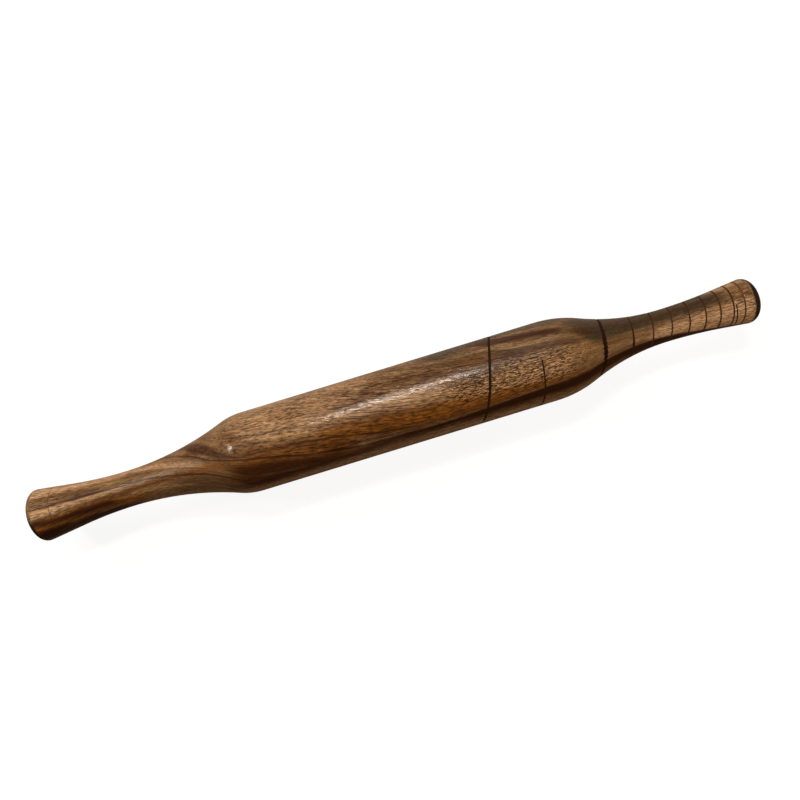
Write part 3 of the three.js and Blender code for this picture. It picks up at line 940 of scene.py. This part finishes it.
# %% Varnish and the finished wood
# Pores are sunk, and flecks and threads are raised, by these shares of the relief's depth in mm.
RELIEF_SHARES = ((pores, -0.6), (flecks, 1.2), (threads, 1.0))
RELIEF_DEPTH = 0.1
relief = 0.0
for pattern, height in RELIEF_SHARES:
    relief = add_node(tree, "Math", {0: pattern, 1: height, 2: relief}, operation="MULTIPLY_ADD")
bump = add_node(tree, "Bump", {"Height": relief, "Strength": 0.4, "Distance": RELIEF_DEPTH * MM})
dullness = add_node(tree, "MapRange", {"Value": flecks, "From Min": 0.3, "From Max": 0.7,
                                       "To Min": 0.65, "To Max": 0.45})
surface = add_node(tree, "BsdfPrincipled", {
    "Base Color": colour, "Roughness": dullness, "Specular IOR Level": 0.15, "Coat Weight": 0.38,
    "Coat Roughness": 0.11, "Normal": bump, "Coat Normal": bump})
add_node(tree, "OutputMaterial", {"Surface": surface})
wood = make_piece("turned_wood", wood_points, wood_faces, sheesham, "varnished_sheesham", "turned_pin")
add_attribute(wood, "grain", grain)
add_attribute(wood, "slope", slope)
for tone in TONES:
    add_attribute(wood, tone, tones[tone])

# %% [markdown]
# ## Dark fill of the scored lines
# Dark lac has been rubbed into the lines and wiped off flush. Each fill is a thin closed strip whose
# section is carried along its line: it sinks a little in the middle, as lac does when it dries, and keeps
# a hair of room from the groove's walls.

# %% Strips of fill
# Corners of a fill's section, as (offset in half widths of its groove, height in depths of it).
FILL_SECTION = np.array(((-0.94, -0.06), (-0.5, -0.2), (0.0, -0.26), (0.5, -0.2), (0.94, -0.06),
                         (0.47, -0.95), (-0.47, -0.95)))


def strip(centre, angle, half_width, depth, closed):
    """Points and faces of a strip: the section's offsets are in half widths, its heights in depths, and both
    are laid on the wood's side at stations of a place along X and an angle."""
    place = centre[:, None] + np.outer(half_width, FILL_SECTION[:, 0])
    radius = side_radius(place) + np.outer(depth, FILL_SECTION[:, 1])
    points = on_pin(place, angle[:, None] * np.ones(len(FILL_SECTION)), radius).reshape(-1, 3)
    stations, corners = place.shape
    numbers = np.arange(stations * corners).reshape(stations, corners)
    wrapped = np.concatenate((numbers, numbers[:, :1]), axis=1)
    if closed:
        wrapped = np.concatenate((wrapped, wrapped[:1]))
    faces = grid_faces(wrapped).tolist()
    if not closed:
        faces += [numbers[0].tolist(), numbers[-1, ::-1].tolist()]
    return points, faces


def joined(parts):
    """One list of points and faces from several, with the vertex numbers of later ones moved on."""
    starts = np.cumsum([0] + [len(points) for points, _ in parts])
    faces = [[number + int(start) for number in face]
             for start, (_, own) in zip(starts, parts) for face in own]
    return np.concatenate([points for points, _ in parts]), faces


print("corners in a strip's section:", len(FILL_SECTION))

# %% [markdown]
# Lac is a dark brown resin. It dulls and turns gritty as it dries, and where the tool was pressed lightly
# the thin fill is worn to brown. How full each line is was stored at its points. To the eye this gives a
# matt, nearly black line that pales along its way.

# %% Lac material
# Real grit is finer than this size in mm. It is drawn as coarse as it needs to be to show.
LAC_GRIT = 0.35
GRIT_DEPTH = 0.05
GRIT_SHARE = 0.5
WORN_LAC = "#4a3018"
FULL_LAC = "#1a0b03"
lac, tree = new_material("dark_lac")
position = add_node(tree, "TexCoord").outputs["Object"]
grit = add_node(tree, "TexNoise", {"Vector": position, "Scale": 1 / (LAC_GRIT * MM), "Detail": 3.0})
fullness = add_node(tree, "Attribute", attribute_name="filled").outputs["Fac"]
fullness = add_node(tree, "Math", {0: grit, 1: GRIT_SHARE, 2: fullness}, operation="MULTIPLY_ADD")
fullness = add_node(tree, "MapRange", {"Value": fullness, "From Min": 0.6, "From Max": 1.15})
colour = add_node(tree, "Mix", {"Factor": fullness, "A": linear(WORN_LAC), "B": linear(FULL_LAC)},
                  data_type="RGBA")
dullness = add_node(tree, "MapRange", {"Value": grit, "From Min": 0.3, "From Max": 0.7,
                                       "To Min": 0.6, "To Max": 0.9})
bump = add_node(tree, "Bump", {"Height": grit, "Strength": 0.4, "Distance": GRIT_DEPTH * MM})
surface = add_node(tree, "BsdfPrincipled", {
    "Base Color": colour, "Roughness": dullness, "Specular IOR Level": 0.2, "Normal": bump})
add_node(tree, "OutputMaterial", {"Surface": surface})
print("grit of the lac", LAC_GRIT, "mm")

# %% [markdown]
# The spiral's fill comes in two stretches, one on each side of the place where the tool skipped. The ring
# is closed on itself, and the short line has two ends.

# %% Fill of the three lines
# A fill starts this many turns inside its groove's end, where the groove is deep enough to hold it.
END_TRIM = 0.4 * TAPER_TURNS
STATIONS_PER_TURN = 145
STRETCHES = ((START_TURN, SKIPPED_TURNS[0]), (SKIPPED_TURNS[1], END_TURN))
stretch_turns = [np.linspace(first + END_TRIM, last - END_TRIM, int((last - first) * STATIONS_PER_TURN))
                 for first, last in STRETCHES]
spiral_parts = [
    strip(spiral_place(turns), FULL_TURN * turns, spiral_half_width(turns), spiral_depth(turns), False)
    for turns in stretch_turns]
spiral_fill = make_piece("spiral_fill", *joined(spiral_parts), lac, "dark_lac_fill", "spiral_line")
pressed = spiral_pressure(np.concatenate(stretch_turns))
add_attribute(spiral_fill, "filled", np.repeat(pressed, len(FILL_SECTION)))

SHORT_STATIONS = 80
SHORT_FILLED = 0.9
trim = FULL_TURN * END_TRIM
short_angles = np.linspace(SHORT_ANGLES[0] + trim, SHORT_ANGLES[1] - trim, SHORT_STATIONS)
short_ones = np.ones(SHORT_STATIONS)
short_part = strip(short_place(short_angles), short_angles, SHORT_HALF_WIDTH * short_ones,
                   short_depth(short_angles), False)
short_fill = make_piece("short_fill", *short_part, lac, "dark_lac_fill", "short_line")
add_attribute(short_fill, "filled", np.full(len(short_part[0]), SHORT_FILLED))

RING_STATIONS = 160
ring_angles = FULL_TURN * np.arange(RING_STATIONS) / RING_STATIONS
ring_ones = np.ones(RING_STATIONS)
ring_part = strip(RING_PLACE * ring_ones, ring_angles, RING_HALF_WIDTH * ring_ones,
                  ring_depth(ring_angles), True)
ring_fill = make_piece("ring_fill", *ring_part, lac, "dark_lac_fill", "ring_line")
add_attribute(ring_fill, "filled", np.repeat(ring_depth(ring_angles) / LINE_DEPTH, len(FILL_SECTION)))

# %% [markdown]
# ## Dark seals on the end grain
# End grain drinks varnish and is sealed with a dark coat that wraps round the edge of the grip. Each seal
# is a shallow cup turned from a closed outline: the outer rounding, the face, and the same again inside.

# %% Shape of a seal
FACE_STEPS = 8
INNER_STEPS = 7
OUTER_STEPS = 15
# Rings on a seal's face, as shares of its radius.
FACE_RINGS = np.linspace(1, 0, FACE_STEPS + 1)[1:-1]


def seal_profile(handle):
    """Closed outline of a seal from the inner pole to the outer one: distances from the end and radii."""
    inner_back, inner_radius = round_arc(handle, handle["end_round"] - SEAL_THICKNESS, INNER_STEPS)
    outer_back, outer_radius = round_arc(handle, handle["end_round"], OUTER_STEPS)
    inner_face = inner_radius[-1] * FACE_RINGS[::-1]
    outer_face = outer_radius[-1] * FACE_RINGS
    back = np.concatenate((np.full(inner_face.shape, SEAL_THICKNESS), inner_back[::-1], outer_back,
                           np.zeros(outer_face.shape)))
    radius = np.concatenate((inner_face, inner_radius[::-1], outer_radius, outer_face))
    return back, radius


def seal_mesh(handle, end, outwards):
    """Points and faces of a seal turned round the axis, with a pole inside and a pole outside."""
    back, radius = seal_profile(handle)
    angle = FULL_TURN * np.arange(ROWS) / ROWS
    place = np.tile(end - outwards * back, (ROWS, 1))
    points = on_pin(place, angle[:, None] * np.ones(back.size), np.tile(radius, (ROWS, 1))).reshape(-1, 3)
    pole_places = end - outwards * np.array((SEAL_THICKNESS, 0.0))
    points = np.concatenate((points, on_pin(pole_places, np.zeros(2), np.zeros(2))))
    numbers = np.arange(ROWS * back.size).reshape(ROWS, back.size)
    faces = grid_faces(np.concatenate((numbers, numbers[:1])))
    if outwards < 0:
        faces = faces[:, ::-1]
    inner = fan_faces(ROWS * back.size, numbers[:, 0], -outwards)
    outer = fan_faces(ROWS * back.size + 1, numbers[:, -1], outwards)
    return points, [*faces.tolist(), *inner.tolist(), *outer.tolist()]


print("rings in a seal's outline:", seal_profile(RIGHT)[0].size)

# %% [markdown]
# The coat is brushed on by hand. It is thick on the face and in the rounding, and thin towards the wood,
# where the end grain shows through as brown: cut fibres as fine dots, and growth layers as faint lines
# across. On the left end the coat reaches far back only on the lower side: the bare rim above is painted
# light and the black rim below is painted shade. On the right end the brush stopped a little short all
# round, most of all at the top. Bare end grain is left there.

# %% Seal material
# How far back the coat reaches where it stops short and where it doesn't, in mm, then the angles from which
# and up to which it reaches further.
# On the left end the short reach over the top and the far reach below paint light on the upper rim and shade
# on the lower one.
LEFT_COAT_AND_SHADE = 0.7, 3.0, np.radians((-10, 30)), np.radians((180, 210))
RIGHT_COAT = 2.95, 3.5, np.radians((-45, -5)), np.radians((75, 100))
# Half the width of the coat's soft edge in mm, and how much the brush's marks thin or thicken the coat.
COAT_EDGE = 0.3
BRUSH_SHARE = 0.6
seal, tree = new_material("dark_sealed_end_grain")
position = add_node(tree, "TexCoord").outputs["Object"]


def end_noise(along, across, up, detail=2.0):
    """Noise whose grains are so many mm long along the pin, across it and upwards."""
    stretch = (1 / (along * MM), 1 / (across * MM), 1 / (up * MM))
    scaled = add_node(tree, "VectorMath", {0: position, 1: stretch}, operation="MULTIPLY")
    return add_node(tree, "TexNoise", {"Vector": scaled, "Scale": 1.0, "Detail": detail})


# Cut pores are about 0.2 mm wide. The dots are drawn twice as wide, so that they show.
layers = end_noise(along=6, across=9, up=0.9, detail=3.0)
dots = end_noise(along=3, across=0.4, up=0.4)
brush = end_noise(along=2.5, across=3.5, up=3.5)
coat = add_node(tree, "Attribute", attribute_name="coat_and_shade").outputs["Fac"]
thin = add_node(tree, "Math", {0: brush, 1: BRUSH_SHARE, 2: -BRUSH_SHARE * NOISE_MIDDLE},
                operation="MULTIPLY_ADD")
coat = add_node(tree, "Math", {0: coat, 1: thin}, operation="ADD")
coat = add_node(tree, "MapRange", {"Value": coat, "From Min": 0.3, "From Max": 0.7})
print("noises on the end grain:", sum(node.type == "TEX_NOISE" for node in tree.nodes))

# %% [markdown]
# Under the coat the bare end grain is pale with dark dots, and the coat itself is nearly black, with the
# growth layers just showing. The coat's thickness is worked out at each point from its distance back from
# the end and its angle, and the material reads it. To the eye this gives a dark, faintly shiny rim.

# %% Seal colours and the two seals
BARE_DOT = "#46301d"
BARE_WOOD = "#7a5a3c"
DARK_COAT = "#150b06"
BROWN_COAT = "#2b190e"
DOT_RELIEF = 0.5
COAT_RELIEF_DEPTH = 0.1
bare = add_node(tree, "MapRange", {"Value": dots, "From Min": 0.35, "From Max": 0.6})
bare = add_node(tree, "Mix", {"Factor": bare, "A": linear(BARE_DOT), "B": linear(BARE_WOOD)},
                data_type="RGBA")
dark = add_node(tree, "MapRange", {"Value": layers, "From Min": 0.4, "From Max": 0.6})
dark = add_node(tree, "Mix", {"Factor": dark, "A": linear(DARK_COAT), "B": linear(BROWN_COAT)},
                data_type="RGBA")
colour = add_node(tree, "Mix", {"Factor": coat, "A": bare, "B": dark}, data_type="RGBA")
dullness = add_node(tree, "MapRange", {"Value": brush, "From Min": 0.3, "From Max": 0.7,
                                       "To Min": 0.38, "To Max": 0.62})
relief = add_node(tree, "Math", {0: dots, 1: DOT_RELIEF, 2: brush}, operation="MULTIPLY_ADD")
bump = add_node(tree, "Bump", {"Height": relief, "Strength": 0.4, "Distance": COAT_RELIEF_DEPTH * MM})
surface = add_node(tree, "BsdfPrincipled", {
    "Base Color": colour, "Roughness": dullness, "Specular IOR Level": 0.3, "Normal": bump})
add_node(tree, "OutputMaterial", {"Surface": surface})

right_points, right_faces = seal_mesh(RIGHT, RIGHT_END, 1)
left_points, left_faces = seal_mesh(LEFT, LEFT_END, -1)
right_seal = make_piece("right_seal", right_points, right_faces, seal, "dark_end_seal", "right_end_seal")
left_seal = make_piece("left_seal", left_points, left_faces, seal, "dark_end_seal", "left_end_seal")


def coat_and_shade(points, end, coat):
    """How much of the coat each point has, which on the left end also paints light above and shade below:
    all of it up to the coat's reach at its angle, and none beyond.

    Angles are counted from the top towards -Y, and run from a quarter turn before the top."""
    short, far, first, last = coat
    angle = np.arctan2(-points[:, 1], points[:, 2] - AXIS_HEIGHT)
    angle = np.where(angle < -np.pi / 2, angle + FULL_TURN, angle)
    reach = short + (far - short) * smooth_step(angle, *first) * (1 - smooth_step(angle, *last))
    return 1 - smooth_step(np.abs(points[:, 0] - end), reach - COAT_EDGE, reach + COAT_EDGE)


add_attribute(right_seal, "coat_and_shade", coat_and_shade(right_points, RIGHT_END, RIGHT_COAT))
add_attribute(left_seal, "coat_and_shade", coat_and_shade(left_points, LEFT_END, LEFT_COAT_AND_SHADE))

# %% [markdown]
# ## Floor
# The pin was photographed on white. A sheet of white paper would do it, but the camera should see it
# plain white apart from the pin's shadow, while the wood should get only the light that real paper throws
# back. The floor is therefore white for the camera and matt for every other ray. Its near half, which
# lies in the shade, throws back less. Near the pin the lamps add to its own glow, which rises to full
# white outwards.

# %% Floor
# In metres: half the floor's width, half the width of the shade's edge, and how far out the lamps light it.
REACH = 3.0
SHADE_EDGE = 0.04
LIT, UNLIT = 0.4, 1.5
SHADED_PAPER = "#4a3f34"
LIT_PAPER = "#b8aca0"
SHADOW_PAPER = "#686868"
corners = [(-REACH, -REACH, 0), (REACH, -REACH, 0), (REACH, REACH, 0), (-REACH, REACH, 0)]
floor_mesh = bpy.data.meshes.new("floor")
floor_mesh.from_pydata(corners, [], [(0, 1, 2, 3)])
floor = bpy.data.objects.new("floor", floor_mesh)
bpy.context.scene.collection.objects.link(floor)
paper, tree = new_material("white_paper")
path = add_node(tree, "LightPath")
seen = add_node(tree, "Math", {0: path.outputs["Is Camera Ray"], 1: path.outputs["Is Transmission Ray"]},
                operation="MAXIMUM")
position = add_node(tree, "TexCoord").outputs["Object"]
far = add_node(tree, "SeparateXYZ", {"Vector": position}).outputs["Y"]
far = add_node(tree, "MapRange", {"Value": far, "From Min": -SHADE_EDGE, "From Max": SHADE_EDGE})
tint = add_node(tree, "Mix", {"Factor": far, "A": linear(SHADED_PAPER), "B": linear(LIT_PAPER)},
                data_type="RGBA")
matt = add_node(tree, "BsdfDiffuse", {"Color": tint})
faint = add_node(tree, "BsdfDiffuse", {"Color": linear(SHADOW_PAPER)})
away = add_node(tree, "VectorMath", {"Vector": position}, operation="LENGTH")
glow = add_node(tree, "MapRange", {"Value": away.outputs["Value"], "From Min": LIT, "From Max": UNLIT,
                                   "To Min": 0.9, "To Max": 1.0})
glow = add_node(tree, "Emission", {"Strength": glow})
white = add_node(tree, "AddShader", {0: faint, 1: glow})
both = add_node(tree, "MixShader", {0: seen, 1: matt, 2: white})
add_node(tree, "OutputMaterial", {"Surface": both})
floor_mesh.materials.append(paper)
print("floor", 2 * REACH, "m wide")

# %% [markdown]
# ## Light
# The highlight is a short bright streak on the barrel's upper side with a small glint on the left
# shoulder, so the main light is a small lamp on the far side, well above the pin. A large soft light
# gives the upper side its even brightness. It is kept out of the gloss, or it would draw a second streak.
# The near side is dark, and only a weak light and the floor reach it. The world is white to the camera and
# hardly lights the pin.

# %% Light
world = bpy.data.worlds.new("studio")
bpy.context.scene.world = world
world.use_nodes = True
tree = world.node_tree
tree.nodes.clear()
path = add_node(tree, "LightPath")
strength = add_node(tree, "MapRange", {"Value": path.outputs["Is Camera Ray"],
                                       "To Min": 0.03, "To Max": 1.0})
air = add_node(tree, "Background", {"Color": linear("#ffffff"), "Strength": strength})
add_node(tree, "OutputWorld", {"Surface": air})


def area_light(name, place, target, size, power, colour, mirrored=True):
    """A soft rectangular lamp at a place, turned to face a target. It can be kept out of the gloss."""
    lamp = bpy.data.lights.new(name, "AREA")
    lamp.shape = "RECTANGLE"
    lamp.size, lamp.size_y = size
    lamp.energy = power
    lamp.color = linear(colour)[:3]
    made = bpy.data.objects.new(name, lamp)
    made.location = place
    made.rotation_euler = Vector(np.subtract(target, place)).to_track_quat("-Z", "Y").to_euler()
    made.visible_camera = False
    made.visible_glossy = mirrored
    bpy.context.scene.collection.objects.link(made)


def far_side(place, degrees, distance):
    """A lamp's place in metres: on the far side of the axis, at an angle from straight above it."""
    angle = np.radians(degrees)
    return place, distance * np.sin(angle), AXIS_HEIGHT * MM + distance * np.cos(angle)


# Places and sizes are in metres, powers in watts.
middle = (0.0, 0.0, AXIS_HEIGHT * MM)
left_side = (-0.1, 0.0, AXIS_HEIGHT * MM)
right_side = (0.15, 0.0, AXIS_HEIGHT * MM)
area_light("key", place=far_side(0.015, 31, 0.85), target=middle,
           size=(0.25, 0.08), power=4.2, colour="#fff6ea")
area_light("left_box", place=(-0.62, 0.40, 0.75), target=left_side,
           size=(0.14, 0.14), power=2.8, colour="#fff6ea")
area_light("window", place=far_side(-0.45, 58, 1.2), target=middle,
           size=(1.0, 0.5), power=14.0, colour="#fffaf2", mirrored=False)
area_light("fill", place=(0.40, -0.34, 0.42), target=right_side,
           size=(0.4, 0.4), power=1.9, colour="#ffe9cf", mirrored=False)
for light in bpy.data.lights:
    print(light.name, light.energy, "W")

# %% [markdown]
# ## Camera
# The camera hangs 0.3 m above the pin and looks straight down, turned by 17 degrees. A short lens at that
# distance gives the bend that the scored lines have in the picture.

# %% Camera
# Lens and sensor are in mm, and the place is in metres.
LENS = 28.8
SENSOR_WIDTH = 36.0
CAMERA_PLACE = (0.00295, 0.00257, 0.3018)
CAMERA_TURN = np.radians(-16.99)
camera_data = bpy.data.cameras.new("camera")
camera_data.lens = LENS
camera_data.sensor_width = SENSOR_WIDTH
camera = bpy.data.objects.new("camera", camera_data)
camera.location = CAMERA_PLACE
camera.rotation_euler = (0.0, 0.0, CAMERA_TURN)
bpy.context.scene.collection.objects.link(camera)
bpy.context.scene.camera = camera
bpy.context.scene.view_settings.view_transform = "Standard"
print("camera at", list(camera.location))
